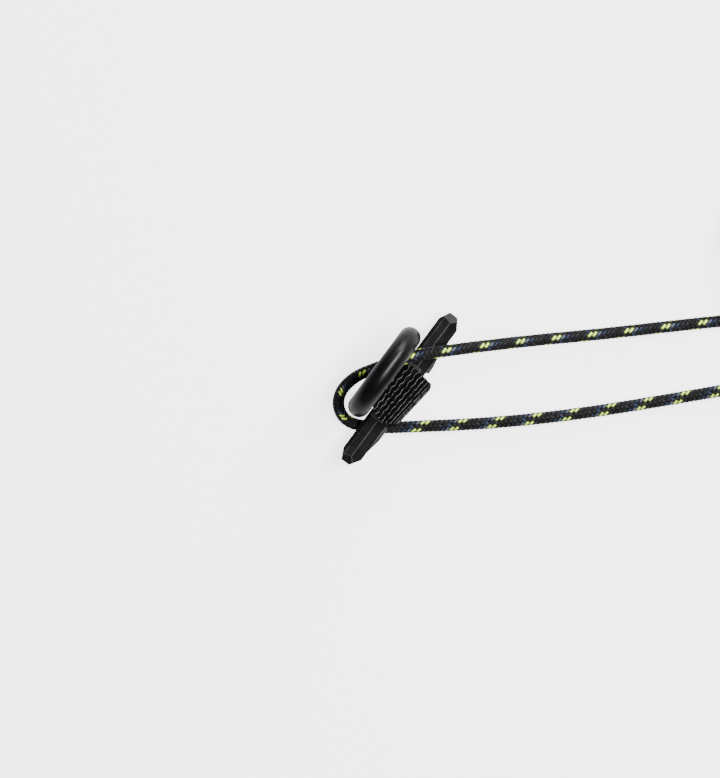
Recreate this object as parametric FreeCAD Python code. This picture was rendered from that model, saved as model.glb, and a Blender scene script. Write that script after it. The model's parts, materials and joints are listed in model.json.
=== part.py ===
import FreeCAD, Part
import math
import os

from FreeCAD import Vector

# A cord lock for 3 mm accessory cord. The faceted bar is a pair of finger wings, the hoop is the
# eye that holds the cord, and the ribbed slide rides on the bar. A spring pushes the slide's jaw
# into the hoop, where it bites the cord against the anvil. Drawing the slide back frees the cord.
# +X runs along the bar, +Y from the bar to the hoop, +Z up. The origin is under the bar's middle,
# on the surface that the foot stands on. All sizes are in millimetres.

# finger bar
bar_length = 44.6
bar_front = -3.0
bar_back = 2.4
bar_underside = 3.4
bar_height = 4.2
bar_ridge_y = -0.5
bar_edge_drop = 1.3  # from the ridge down to the front edge
bar_facet_y = 1.4  # where the top facet ends
bar_facet_drop = 0.3
bar_back_drop = 1.1
tip_taper = 2.7
tip_front = -1.25
tip_back = 1.05
tip_drop = 1.0
tip_slope = 2.1

# flat on the bar that the slide runs on
land_depth = 0.6  # below the ridge
land_spare = (0.65, 0.85)  # past the slide's left and right ends

# front rail of the lower frame, on each side of the slide
rail_depth = 0.7
rail_rise = (0.6, 1.8)  # its underside and its top, above the bar's underside
rail_ends = (-17.4, 12.8)
rail_gap = (0.3, 0.1)  # left open beside the flat
rail_bevel = 0.3  # beside the slide
rail_taper = 4.0  # towards the bar's tips

# foot under the bar, and saddle under the hoop
foot_left = -6.5
foot_right = 6.0
foot_bevel = 0.4
saddle_half_width = 5.0
saddle_open = 0.8  # how far it stops short of the hoop's back
saddle_rise = 1.4  # above the middle of the hoop's lowest part

# hoop
hoop_x = 1.0
hoop_gap = 0.2  # behind the bar
hoop_outside = 26.0
hoop_thickness = 5.4
hoop_lift = 0.6  # floor of the saddle under the hoop
hoop_groove_gap = 0.05
hoop_pin_diameter = 1.6
hoop_pin_front = -0.8
hoop_pin_inset = 0.2  # from the saddle's back

# cord
cord_diameter = 3.0
cord_gap = 0.2  # jaw and anvil stand this far off the unsqueezed cord
arc_share = 0.45  # of the shorter run, at each end of an arc
pinch = Vector(4.0, 5.2, 12.2)
upper_route = [
    pinch,
    Vector(8.2, 2.3, 12.3),
    Vector(13.6, -3.2, 12.1),
    Vector(19.6, -9.4, 10.2),
    Vector(28.6, -19.0, 6.3),
    Vector(39.9, -31.6, 2.9),
    Vector(51.5, -44.1, 1.7),
    Vector(61.0, -54.4, 1.5),
    Vector(68.9, -63.6, 1.6),
    Vector(76.1, -72.5, 1.5),
]
tail_route = [
    pinch,
    Vector(-0.2, 8.1, 12.1),
    Vector(-4.2, 10.4, 10.8),
    Vector(-8.5, 11.2, 8.6),
    Vector(-12.0, 9.9, 6.2),
    Vector(-13.9, 7.0, 4.0),
    Vector(-13.7, 3.8, 2.2),
    Vector(-12.2, 1.0, 1.6),
    Vector(-10.4, -2.2, 1.55),
    Vector(-7.3, -6.1, 1.5),
    Vector(-2.0, -12.7, 1.55),
    Vector(5.5, -21.9, 1.5),
    Vector(15.0, -32.6, 1.55),
    Vector(25.6, -43.6, 1.5),
    Vector(36.6, -54.3, 1.5),
    Vector(45.6, -62.9, 2.0),
    Vector(50.6, -67.7, 3.6),
]
coil_x = 92.9
coil_y = -60.0
coil_middle_diameter = 33.0
coil_lanes = 4
coil_layers = 3
coil_edge = 1.3
knot_diameter = 9.0

# thumb slide: u along the ribs, v towards the hoop, turned off the bar
slide_x = -1.35
slide_turn = -6.5
slide_travel = 2.0
slide_gap = 0.1
slide_half_length = 7.3
barrel_radius = 5.9
barrel_v = 0.46
barrel_drop = 1.1  # its axis, below the flat
dome_front_inset = 2.8  # the left end is domed, and its nose is the slide's left end
dome_back_inset = 3.1
dome_nose_v = -0.9
dome_overrun = 0.16
slide_corner = (1.1, 0.8)  # bevel of the right end's corners
lip_gap = 0.25  # in front of the rails
lip_drop = 3.3  # below the flat
rib_pitch = 12.3
rib_depth = 0.5
rib_first = -30.0
rib_count = 12
hoop_relief = 0.35

# spring chamber in the slide
chamber_u = -2.9
chamber_side_gap = 0.4  # beside the spring
chamber_front_gap = 0.1  # in front of the post
chamber_wall = 0.8  # behind the spring
keeper_thickness = 0.5
keeper_overlap = (0.6, 0.4)  # in front of the chamber and behind it
keeper_slot = 1.7

# post, spring and guide pin
post_v = -2.3
post_length = 1.2
post_neck = 1.3
post_head_gap = 0.15
post_foot_width = 2.4
post_foot_length = 2.0
post_foot_v = -1.6
post_foot_depth = 2.4
fit_gap = 0.05
spring_wire = 0.28
spring_diameter = 2.2
spring_turns = 5
spring_spare = 0.22  # left between its coils when the slide is drawn right back
guide_pin_diameter = 1.0
guide_pin_inset = 0.1  # from the slide's back

# jaw
jaw_left_u = -0.9
jaw_web = 0.1  # left behind the teeth at the jaw's right end
jaw_back_v = 6.2
jaw_rise = 1.2  # above the slide's underside
jaw_over = 1.8  # above the middle of the cord
tooth_pitch = 1.1
tooth_depth = 0.35
tenon_u = (0.4, 4.4)
tenon_v = 0.7
tenon_height = 1.6
jaw_pin_diameter = 1.0
jaw_pin_v = 1.8
jaw_pin_u = (0.9, 6.9)

# anvil on the hoop
anvil_under = 2.4  # below the middle of the cord
anvil_over = 2.8  # above it
anvil_inset = (0.6, 0.3)  # inside the hoop's front and back
anvil_sink = 1.0  # short of the middle of the hoop's bar

# screws
cover_screw_x = 14.6
cover_screw_y = -0.3
cover_screw_head = 2.4
cover_screw_shank = 1.4
cover_screw_cover = 0.9  # left above its end
cover_screw_sink = 0.9
post_screw_head = 2.2
post_screw_shank = 1.2
post_screw_seat = 1.8
post_screw_cover = 0.4
keeper_screw_head = 1.7
keeper_screw_shank = 0.9
keeper_screw_length = 2.1
keeper_screw_head_height = 0.3
keeper_screw_out = (1.0, 1.6)  # from the chamber's left and right walls
keeper_screw_edge = (0.8, 1.4)  # from there to the keeper's ends
head_height = 0.8
hex_key = 0.9

# places of the bar, the saddle and the hoop that follow from the sizes above
half_length = bar_length / 2
bar_ridge_height = bar_underside + bar_height
parting_height = (bar_underside + bar_ridge_height) / 2
land_height = bar_ridge_height - land_depth
land_left = slide_x - slide_half_length - land_spare[0]
land_right = slide_x + slide_half_length + land_spare[1]
rail_left = (land_left - rail_gap[0], rail_ends[0])
rail_right = (land_right + rail_gap[1], rail_ends[1])
ring_radius = (hoop_outside - hoop_thickness) / 2
tube_radius = hoop_thickness / 2
hoop_y = bar_back + hoop_gap + tube_radius
hoop_height = hoop_lift + hoop_outside / 2
saddle_back = hoop_y + tube_radius - saddle_open
saddle_height = hoop_lift + tube_radius + saddle_rise
hoop_pin_back = saddle_back - hoop_pin_inset
cord_radius = cord_diameter / 2
grip_offset = cord_radius + cord_gap

# places in the slide
slide_low = land_height + slide_gap
barrel_height = land_height - barrel_drop
lip_inner_v = bar_front - rail_depth - lip_gap
lip_low = land_height - lip_drop
chamber_low = slide_low + keeper_thickness
chamber_top = chamber_low + spring_diameter + 2 * fit_gap
chamber_width = spring_diameter + 2 * chamber_side_gap
spring_height = (chamber_low + chamber_top) / 2
post_front = post_v - post_length / 2
post_back = post_v + post_length / 2
chamber_front_v = post_front - chamber_front_gap
spring_shut = (spring_turns + 1) * spring_wire + spring_spare
chamber_back_v = post_back + 2 * fit_gap + spring_shut + slide_travel
slide_back_v = chamber_back_v + chamber_wall
keeper_screw_u = (chamber_u - chamber_width / 2 - keeper_screw_out[0],
                  chamber_u + chamber_width / 2 + keeper_screw_out[1])
keeper_u = (keeper_screw_u[0] - keeper_screw_edge[0], keeper_screw_u[1] + keeper_screw_edge[1])
keeper_v = (chamber_front_v - keeper_overlap[0], chamber_back_v + keeper_overlap[1])
jaw_low = slide_low + jaw_rise
jaw_high = pinch.z + jaw_over
tenon_top = jaw_low + tenon_height
cord_way = (upper_route[1] - tail_route[1]).normalize()
UP = Vector(0, 0, 1)
ACROSS = Vector(0, 1, 0)


def block(x_range, y_range, z_range):
    """A box between two values on each axis."""
    size = [high - low for low, high in (x_range, y_range, z_range)]
    return Part.makeBox(*size, Vector(x_range[0], y_range[0], z_range[0]))


def prism(corners, way):
    """A flat outline of corner points, carried along a vector."""
    return Part.Face(Part.makePolygon(corners + corners[:1])).extrude(way)


def rod(start, way, diameter, length):
    return Part.makeCylinder(diameter / 2, length, start, way)


def on_slide(shape):
    """Turn and move a shape from the slide's u and v to the frame of the part."""
    shape.rotate(Vector(0, 0, 0), UP, slide_turn)
    shape.translate(Vector(slide_x, 0, 0))
    return shape


def save(name, shape):
    shape.exportStep("parts/" + name + ".step")
    print(name, len(shape.Solids), "solid", round(shape.Volume, 2), "mm3", shape.isValid())


# ---------------------------------------------------------------- cord


def arc_at(before, corner, after):
    """The arc that rounds one corner of a route, with its radius and its two ends."""
    way_in, way_out = (corner - before).normalize(), (after - corner).normalize()
    half_turn = way_in.getAngle(way_out) / 2
    cut_back = arc_share * min((corner - before).Length, (after - corner).Length)
    radius = cut_back / math.tan(half_turn)
    start, end = corner - way_in * cut_back, corner + way_out * cut_back
    inward = (way_out - way_in).normalize()
    middle = corner + inward * (radius / math.cos(half_turn) - radius)
    return start, middle, end, radius


def cord_tube(name, route):
    """A round cord along straight runs joined by tangent arcs."""
    edges, radii, last = [], [], route[0]
    for before, corner, after in zip(route, route[1:], route[2:]):
        start, middle, end, radius = arc_at(before, corner, after)
        edges.append(Part.LineSegment(last, start).toShape())
        edges.append(Part.Arc(start, middle, end).toShape())
        radii.append(radius)
        last = end
    edges.append(Part.LineSegment(last, route[-1]).toShape())
    path = Part.Wire(edges)
    section = Part.Wire(Part.makeCircle(cord_radius, route[0], route[1] - route[0]))
    tube = path.makePipeShell([section], True, False)
    print(name, "length", round(path.Length, 1), "arc radii", [round(r, 1) for r in radii])
    print(name, "volume over section times length",
          round(tube.Volume / (math.pi * cord_radius ** 2 * path.Length), 4))
    return tube


def cord_coil(route):
    """The put-away turns as one ring, with a notch where the cord runs in."""
    width = coil_lanes * cord_diameter
    height = coil_layers * cord_diameter
    inner = (coil_middle_diameter - width) / 2
    corners = [Vector(inner, 0, 0), Vector(inner + width, 0, 0),
               Vector(inner + width, 0, height), Vector(inner, 0, height)]
    ring = Part.Face(Part.makePolygon(corners + corners[:1])).revolve(Vector(0, 0, 0), UP, 360)
    ring = ring.makeFillet(coil_edge, ring.Edges)
    ring.translate(Vector(coil_x, coil_y, 0))
    way = (route[-1] - route[-2]).normalize()
    notch_length = coil_middle_diameter / 2
    notch = rod(route[-1] - way * notch_length, way, cord_diameter + 4 * cord_gap, notch_length)
    return ring.cut(notch)


def stopper_knot(end, way):
    """A round knot whose flat meets the cord's end."""
    reach = math.sqrt((knot_diameter / 2) ** 2 - cord_radius ** 2)
    ball = Part.makeSphere(knot_diameter / 2, end + way * reach)
    return ball.cut(rod(end, way * -1, knot_diameter + 1, knot_diameter))


# ---------------------------------------------------------------- bar


def bar_solid():
    """The whole faceted bar: its section, its plan and its side view, in common."""
    middle = parting_height
    rise = bar_ridge_height - middle
    upper = [(bar_front, rise - bar_edge_drop), (bar_ridge_y, rise),
             (bar_facet_y, rise - bar_facet_drop), (bar_back, rise - bar_back_drop)]
    section = upper + [(y, -z) for y, z in reversed(upper)]
    body = prism([Vector(-half_length, y, middle + z) for y, z in section],
                 Vector(bar_length, 0, 0))
    shoulder = half_length - tip_taper
    right_plan = [(half_length, tip_front), (half_length, tip_back), (shoulder, bar_back)]
    plan = [(shoulder, bar_front)] + right_plan
    plan = plan + [(-x, y) for x, y in reversed(plan)]
    plan_solid = prism([Vector(x, y, 0) for x, y in plan], Vector(0, 0, 2 * bar_ridge_height))
    slope = half_length - tip_slope
    side = [(slope, bar_ridge_height), (half_length, bar_ridge_height - tip_drop),
            (half_length, bar_underside + tip_drop), (slope, bar_underside)]
    side = side + [(-x, z) for x, z in reversed(side)]
    side_solid = prism([Vector(x, bar_front - 1, z) for x, z in side], Vector(0, 8, 0))
    return body.common(plan_solid).common(side_solid)


def rail(inner, outer):
    """A ledge along the bar's front face, from beside the slide, tapered towards the tip."""
    way = math.copysign(1, outer - inner)
    front = bar_front - rail_depth
    plan = [(inner, bar_front + 0.2), (inner, bar_front), (inner + way * rail_bevel, front),
            (outer - way * rail_taper, front), (outer, bar_front), (outer, bar_front + 0.2)]
    low, high = rail_rise
    return prism([Vector(x, y, bar_underside + low) for x, y in plan], Vector(0, 0, high - low))


def hoop_ring(gap):
    """The hoop's round bar bent to a ring, grown by a gap."""
    middle = Vector(hoop_x, hoop_y, hoop_height)
    return Part.makeTorus(ring_radius, tube_radius + gap, middle, ACROSS)


def hoop_pin_rod(gap):
    start = Vector(hoop_x, hoop_pin_front - gap, hoop_lift + tube_radius)
    return rod(start, ACROSS, hoop_pin_diameter + 2 * gap, hoop_pin_back - hoop_pin_front + 2 * gap)


def screw(x, y, seat, head, shank, top):
    """A screw pointing up, its head below the seat, with a six-sided socket."""
    body = rod(Vector(x, y, seat), UP, shank, top - seat)
    cap = rod(Vector(x, y, seat - head_height), UP, head, head_height)
    corners = [Vector(x + hex_key / 2 * math.cos(a), y + hex_key / 2 * math.sin(a),
                      seat - head_height) for a in [math.radians(60 * k) for k in range(6)]]
    return body.fuse(cap).cut(prism(corners, Vector(0, 0, head_height / 2)))


def screw_hole(x, y, seat, head, shank, top):
    """The hole for a screw, open below its head."""
    bore = rod(Vector(x, y, seat), UP, shank + 2 * fit_gap, top + fit_gap - seat)
    sink = rod(Vector(x, y, -1), UP, head + 4 * fit_gap, seat + 1)
    return bore.fuse(sink)


def cover_screw_values(x):
    seat = bar_underside + cover_screw_sink + head_height
    top = bar_ridge_height - cover_screw_cover
    return x, cover_screw_y, seat, cover_screw_head, cover_screw_shank, top


def post_place():
    """The middle of the post's foot in the frame of the part."""
    spot = on_slide(Part.Vertex(chamber_u, post_foot_v, 0)).Point
    return spot.x, spot.y


def post_screw_values():
    x, y = post_place()
    seat, top = post_screw_seat + head_height, land_height - post_screw_cover
    return x, y, seat, post_screw_head, post_screw_shank, top


def post_foot(gap, top):
    half_width, half_length = post_foot_width / 2 + gap, post_foot_length / 2 + gap
    return block((chamber_u - half_width, chamber_u + half_width),
                 (post_foot_v - half_length, post_foot_v + half_length),
                 (land_height - post_foot_depth - gap, top))


def post_solid():
    """Post foot in the bar, neck through the keeper's slot, and head in the chamber."""
    half_head, half_neck = chamber_width / 2 - post_head_gap, post_neck / 2
    foot = post_foot(0, land_height - fit_gap)
    neck = block((chamber_u - half_neck, chamber_u + half_neck),
                 (post_foot_v - post_foot_length / 2, post_back),
                 (land_height - post_foot_depth / 2, spring_height))
    head = block((chamber_u - half_head, chamber_u + half_head), (post_front, post_back),
                 (chamber_low + fit_gap, chamber_top - post_head_gap))
    return on_slide(foot.fuse(neck).fuse(head))


def post_pocket():
    """The pocket for the post's foot, open to the land above."""
    return on_slide(post_foot(fit_gap, bar_ridge_height))


def land_cut():
    """What is taken off the bar's top to leave the flat that the slide runs on."""
    return block((land_left, land_right), (bar_front - 1, bar_back + 1), (land_height, 12))


def bar_fixings():
    """Every hole that goes through both halves of the bar."""
    holes = post_pocket().fuse(screw_hole(*post_screw_values())).fuse(hoop_pin_rod(fit_gap))
    for x in (-cover_screw_x, cover_screw_x):
        holes = holes.fuse(screw_hole(*cover_screw_values(x)))
    return holes


def upper_cover(bar):
    above = block((-half_length - 1, half_length + 1), (-9, 9), (parting_height, 20))
    return bar.common(above).cut(land_cut()).cut(bar_fixings())


def lower_frame(bar):
    """Lower half of the bar, its rails, the foot and the saddle that holds the hoop."""
    below = block((-half_length - 1, half_length + 1), (-9, 9), (0, parting_height))
    foot = block((foot_left, foot_right), (bar_front, bar_back), (0, bar_underside + 1.2))
    foot = foot.makeChamfer(foot_bevel, [e for e in foot.Edges if is_upright(e)])
    saddle = block((hoop_x - saddle_half_width, hoop_x + saddle_half_width),
                   (bar_back - 1, saddle_back), (0, saddle_height))
    saddle = saddle.makeChamfer(foot_bevel, [e for e in saddle.Edges if is_upright(e)])
    shape = bar.common(below).fuse([foot, saddle, rail(*rail_left), rail(*rail_right)])
    return shape.removeSplitter().cut(hoop_ring(hoop_groove_gap)).cut(bar_fixings())


def is_upright(edge):
    first, last = edge.Vertexes[0].Point, edge.Vertexes[-1].Point
    return abs(first.x - last.x) + abs(first.y - last.y) < 1e-6


# ---------------------------------------------------------------- hoop


def beside_cord(offset, low, high):
    """A thick slab that starts at an offset from the pinched cord's line and goes on away from it."""
    away = UP.cross(cord_way).normalize()
    start = Vector(pinch.x, pinch.y, low) + away * offset
    far = away * math.copysign(30, offset)
    corners = [start - cord_way * 30, start + cord_way * 30]
    corners = [Vector(p.x, p.y, low) for p in corners]
    corners = corners + [corners[1] + far, corners[0] + far]
    return prism(corners, Vector(0, 0, high - low))


def hoop():
    """The ring, with the anvil that the cord is pinched against on its inner wall."""
    low, high = pinch.z - anvil_under, pinch.z + anvil_over
    front, back = hoop_y - tube_radius + anvil_inset[0], hoop_y + tube_radius - anvil_inset[1]
    anvil = block((pinch.x - 2, hoop_x + ring_radius - anvil_sink), (front, back), (low, high))
    anvil = anvil.common(beside_cord(grip_offset * hoop_side, low, high))
    hull = Part.makeCylinder(ring_radius, hoop_thickness,
                             Vector(hoop_x, hoop_y - tube_radius, hoop_height), ACROSS)
    return hoop_ring(0).fuse(anvil.common(hull)).cut(hoop_pin_rod(fit_gap))


# the side of the cord's line that the hoop's right limb lies on, as a sign
hoop_side = math.copysign(1, UP.cross(cord_way).dot(Vector(1, 1, 0)))


# ---------------------------------------------------------------- thumb slide


def barrel():
    """The slide's outside: a barrel along u, cut to the plan of a domed and a flat end."""
    section = Part.makeCylinder(barrel_radius, 2 * slide_half_length + 2,
                                Vector(-slide_half_length - 1, barrel_v, barrel_height),
                                Vector(1, 0, 0))
    front = barrel_v - barrel_radius
    right, (along, across) = slide_half_length, slide_corner
    dome = [Vector(-slide_half_length + dome_front_inset, front - dome_overrun, 0),
            Vector(-slide_half_length, dome_nose_v, 0),
            Vector(-slide_half_length + dome_back_inset, slide_back_v, 0)]
    flat = [dome[2], Vector(right - along / 2, slide_back_v, 0),
            Vector(right, slide_back_v - across / 2, 0), Vector(right, front + across, 0),
            Vector(right - along, front, 0), Vector(dome[0].x, front, 0), dome[0]]
    edges = [Part.LineSegment(a, b).toShape() for a, b in zip(flat, flat[1:])]
    edges.append(Part.Arc(*dome).toShape())
    plan = Part.Face(Part.Wire(edges)).extrude(Vector(0, 0, 20))
    return section.common(plan)


def rib_grooves():
    """V grooves along the barrel, leaving a thin crest between each two."""
    half = math.radians(rib_pitch) / 2 * 0.92
    outer = barrel_radius + 0.3
    deep = barrel_radius - rib_depth
    cutters = []
    for k in range(rib_count):
        angle = math.radians(rib_first + k * rib_pitch)
        corners = [(outer, angle - half), (deep, angle), (outer, angle + half)]
        points = [Vector(-slide_half_length - 1, barrel_v - r * math.sin(a),
                         barrel_height + r * math.cos(a)) for r, a in corners]
        cutters.append(prism(points, Vector(2 * slide_half_length + 2, 0, 0)))
    return Part.makeCompound(cutters)


def thumb_slide():
    """Ribbed cap over the bar, with a lip down its front and the spring chamber inside."""
    body = barrel().cut(rib_grooves())
    under = block((-9, 9), (lip_inner_v, 9), (-1, slide_low))
    below_lip = block((-9, 9), (-9, 9), (-1, lip_low))
    half = chamber_width / 2
    chamber = block((chamber_u - half, chamber_u + half), (chamber_front_v, chamber_back_v),
                    (slide_low - 1, chamber_top))
    bore = rod(Vector(chamber_u, chamber_back_v - 0.5, spring_height), ACROSS,
               guide_pin_diameter + 2 * fit_gap, 3)
    body = body.cut([under, below_lip, chamber, bore, keeper_outline(fit_gap),
                     tenon(fit_gap), jaw_pin_rod(fit_gap), keeper_screw_rods(fit_gap)])
    return on_slide(body).cut(hoop_ring(hoop_relief))


def keeper_outline(gap):
    return block((keeper_u[0] - gap, keeper_u[1] + gap), (keeper_v[0] - gap, keeper_v[1] + gap),
                 (slide_low - gap, chamber_low))


def keeper_screw_rods(gap):
    """The shanks of the keeper's screws, grown by a gap."""
    shanks = [rod(Vector(u, 0, slide_low + keeper_screw_head_height), UP,
                  keeper_screw_shank + 2 * gap, keeper_screw_length + gap)
              for u in keeper_screw_u]
    return Part.makeCompound(shanks)


def keeper_screws():
    """Two flush screws that hold the keeper plate up in the slide."""
    heads = [rod(Vector(u, 0, slide_low), UP, keeper_screw_head, keeper_screw_head_height)
             for u in keeper_screw_u]
    screws = [head.fuse(shank) for head, shank in zip(heads, keeper_screw_rods(0).Solids)]
    return on_slide(Part.makeCompound(screws))


def keeper_plate():
    """Thin plate under the chamber, with a slot that the post's neck runs in."""
    front = post_front - fit_gap
    slot = block((chamber_u - keeper_slot / 2, chamber_u + keeper_slot / 2),
                 (front, front + post_length + slide_travel + 4 * fit_gap), (0, 20))
    holes = [rod(Vector(u, 0, 0), UP, keeper_screw_shank + 2 * fit_gap, 20)
             for u in keeper_screw_u]
    sinks = [rod(Vector(u, 0, 0), UP, keeper_screw_head + 2 * fit_gap,
                 slide_low + keeper_screw_head_height) for u in keeper_screw_u]
    return on_slide(keeper_outline(0).cut([slot] + holes + sinks)).cut(hoop_ring(hoop_relief))


# ---------------------------------------------------------------- jaw


def tenon(gap):
    return block((tenon_u[0] - gap, tenon_u[1] + gap), (tenon_v - gap, slide_back_v + 0.5),
                 (jaw_low - gap, tenon_top + gap))


def jaw_pin_rod(gap):
    start = Vector(jaw_pin_u[0] - gap, jaw_pin_v, jaw_low + tenon_height / 2)
    way = Vector(1, 0, 0)
    return rod(start, way, jaw_pin_diameter + 2 * gap, jaw_pin_u[1] - jaw_pin_u[0] + gap)


def jaw_right_u():
    """Where the web behind the teeth runs out against the slide's back."""
    away = UP.cross(cord_way).normalize() * hoop_side
    corner = on_slide(Part.Vertex(0, slide_back_v + fit_gap, 0)).Point
    u_way = FreeCAD.Rotation(UP, slide_turn).multVec(Vector(1, 0, 0))
    behind = grip_offset + tooth_depth + jaw_web
    return (away.dot(pinch - corner) - behind) / away.dot(u_way)


def jaw_insert():
    """Wedge behind the slide, with a tenon into it and a toothed face along the cord."""
    body = block((jaw_left_u, jaw_right_u()), (slide_back_v + fit_gap, jaw_back_v),
                 (jaw_low, jaw_high))
    shape = on_slide(body.fuse(tenon(0)))
    shape = shape.common(beside_cord(-grip_offset * hoop_side, 0, 20))
    shape = shape.cut(jaw_teeth()).cut(hoop_ring(hoop_relief))
    return shape.cut(on_slide(jaw_pin_rod(fit_gap)))


def jaw_teeth():
    """Upright V grooves along the jaw's face."""
    away = UP.cross(cord_way).normalize() * -hoop_side
    cutters = []
    for k in range(-4, 5):
        root = Vector(pinch.x, pinch.y, 0) + away * grip_offset + cord_way * (k * tooth_pitch)
        root.z = 0
        corners = [root + away * tooth_depth, root - away * 0.3 + cord_way * (tooth_pitch * 0.48),
                   root - away * 0.3 - cord_way * (tooth_pitch * 0.48)]
        corners = [Vector(p.x, p.y, 0) for p in corners]
        cutters.append(prism(corners, Vector(0, 0, 20)))
    return Part.makeCompound(cutters)


# ---------------------------------------------------------------- spring


def guide_pin():
    start = Vector(chamber_u, post_v, spring_height)
    return on_slide(rod(start, ACROSS, guide_pin_diameter,
                        slide_back_v - guide_pin_inset - post_v))


def return_spring():
    """A round-wire spring between the post's head and the chamber's back wall."""
    start = post_back + fit_gap + spring_wire / 2
    height = chamber_back_v - fit_gap - spring_wire / 2 - start
    radius = (spring_diameter - spring_wire) / 2
    helix = Part.makeHelix(height / spring_turns, height, radius)
    section = Part.Wire(Part.makeCircle(spring_wire / 2, Vector(radius, 0, 0), ACROSS))
    coil = helix.makePipeShell([section], True, True)
    coil.rotate(Vector(0, 0, 0), Vector(1, 0, 0), -90)
    coil.translate(Vector(chamber_u, start, spring_height))
    return on_slide(coil)


# ---------------------------------------------------------------- build

os.makedirs("parts", exist_ok=True)

whole_bar = bar_solid()
save("lower_frame", lower_frame(whole_bar))
save("upper_cover", upper_cover(whole_bar))
save("cover_screws", Part.makeCompound([screw(*cover_screw_values(x))
                                        for x in (-cover_screw_x, cover_screw_x)]))
save("hoop", hoop())
save("hoop_pin", hoop_pin_rod(0))
pin = on_slide(rod(Vector(chamber_u, post_v - post_length, spring_height), ACROSS,
                   guide_pin_diameter + 2 * fit_gap, 2 * post_length))
save("guide_post", post_solid().cut(pin).cut(screw_hole(*post_screw_values())))
save("post_screw", screw(*post_screw_values()))
save("guide_pin", guide_pin())
save("return_spring", return_spring())

save("thumb_slide", thumb_slide())
save("keeper_plate", keeper_plate())
save("keeper_screws", keeper_screws())
save("jaw_insert", jaw_insert())
save("jaw_pin", on_slide(jaw_pin_rod(0)))

save("upper_cord", cord_tube("upper cord", upper_route))
save("tail_cord", cord_tube("tail cord", tail_route))
save("cord_coil", cord_coil(upper_route))
coil_top = coil_layers * cord_diameter
save("coil_knot", stopper_knot(Vector(coil_x, coil_y - coil_middle_diameter / 2, coil_top), UP))
tail_end = tail_route[-1]
save("tail_knot", stopper_knot(tail_end, (tail_end - tail_route[-2]).normalize()))
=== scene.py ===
import json

import bpy
import numpy as np
from mathutils import Matrix


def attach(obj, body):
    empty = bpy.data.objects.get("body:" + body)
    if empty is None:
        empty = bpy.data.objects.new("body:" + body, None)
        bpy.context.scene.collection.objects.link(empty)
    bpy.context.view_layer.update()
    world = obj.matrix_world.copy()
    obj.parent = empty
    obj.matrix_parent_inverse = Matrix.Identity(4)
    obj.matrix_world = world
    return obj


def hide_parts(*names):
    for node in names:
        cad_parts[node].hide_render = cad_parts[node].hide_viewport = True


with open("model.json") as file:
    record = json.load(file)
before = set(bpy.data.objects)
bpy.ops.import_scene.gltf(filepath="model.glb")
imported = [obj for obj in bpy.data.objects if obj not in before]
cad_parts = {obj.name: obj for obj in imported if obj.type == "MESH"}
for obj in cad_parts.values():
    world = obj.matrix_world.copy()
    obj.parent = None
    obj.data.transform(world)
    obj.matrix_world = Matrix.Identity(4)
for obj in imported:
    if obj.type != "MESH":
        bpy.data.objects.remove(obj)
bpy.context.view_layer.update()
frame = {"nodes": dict(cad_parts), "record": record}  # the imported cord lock: +X along the bar, +Y to the hoop, +Z up, in metres
mm = 0.001
scene = bpy.context.scene
parts = frame["nodes"]
print("frame loaded,", len(parts), "parts")

# camera: straight above the lock, turned so that the bar leans to the upper right
cameraSet = {
    "aim": (-5.8, 7.6),  # mm, the spot under the lens
    "height": 900.0,
    "workHeight": 7.0,  # the level at which the field is measured
    "fieldHeight": 189.8,
    "turn": -53.5,  # degrees
    "sensor": 36.0,
    "clip": (0.01, 10.0),  # metres
}


# the lens is the one that fits the field's height to the sensor at the work height
def makeCamera(s):
    data = bpy.data.cameras.new("camera")
    data.sensor_width = s["sensor"]
    data.lens = s["sensor"] * (s["height"] - s["workHeight"]) / s["fieldHeight"]
    data.clip_start, data.clip_end = s["clip"]
    camera = bpy.data.objects.new("camera", data)
    camera.location = (s["aim"][0] * mm, s["aim"][1] * mm, s["height"] * mm)
    camera.rotation_euler = (0, 0, np.radians(s["turn"]))
    scene.collection.objects.link(camera)
    scene.camera = camera


makeCamera(cameraSet)
print("camera placed")


# puts arrays of points and faces into a mesh, with a map named lay where the pattern follows the piece
def addPiece(name, points, faces, body, lay=None):
    mesh = bpy.data.meshes.new(name)
    mesh.from_pydata(points.tolist(), [], faces)
    mesh.polygons.foreach_set("use_smooth", np.ones(len(mesh.polygons), bool))
    if lay is not None:
        mesh.uv_layers.new(name="lay").data.foreach_set("uv", lay.ravel())
    mesh.update()
    piece = bpy.data.objects.new(name, mesh)
    scene.collection.objects.link(piece)
    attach(piece, body)
    return piece


# v over its own length
def unit(v):
    return v / np.linalg.norm(v, axis=-1, keepdims=True)


# a tube of rings: centre + radius * (cos t * side + sin t * up), with radius an array of
# rings by steps; the map holds the distance along (in braid turns) and the share of the way round
def tubeArrays(centres, sides, ups, radius, along, closed=False):
    rings, steps = radius.shape
    t = np.arange(steps) * 2 * np.pi / steps
    ring = np.cos(t)[None, :, None] * sides[:, None] + np.sin(t)[None, :, None] * ups[:, None]
    points = (centres[:, None] + radius[:, :, None] * ring).reshape(-1, 3)
    i = np.arange(rings if closed else rings - 1)[:, None]
    j = np.arange(steps)[None]
    near, far = i * steps, (i + 1) % rings * steps
    k = (j + 1) % steps
    quads = np.stack([near + j, far + j, far + k, near + k], -1).reshape(-1, 4)
    further = np.append(along, along[-1] + along[1] - along[0])
    a, b, j = along[i] + 0 * j, further[i + 1] + 0 * j, j + 0 * i
    lay = np.stack([a, j / steps, b, j / steps, b, (j + 1) / steps, a, (j + 1) / steps], -1)
    lay = lay.reshape(-1, 2)
    faces = quads.tolist()
    if not closed:
        faces += [list(range(steps)), list(range((rings - 1) * steps, rings * steps))[::-1]]
        flat = np.stack([np.zeros(steps), np.arange(steps) / steps], -1)
        lay = np.concatenate([lay, flat + [along[0], 0], flat[::-1] + [along[-1], 0]])
    return points, faces, lay


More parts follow.
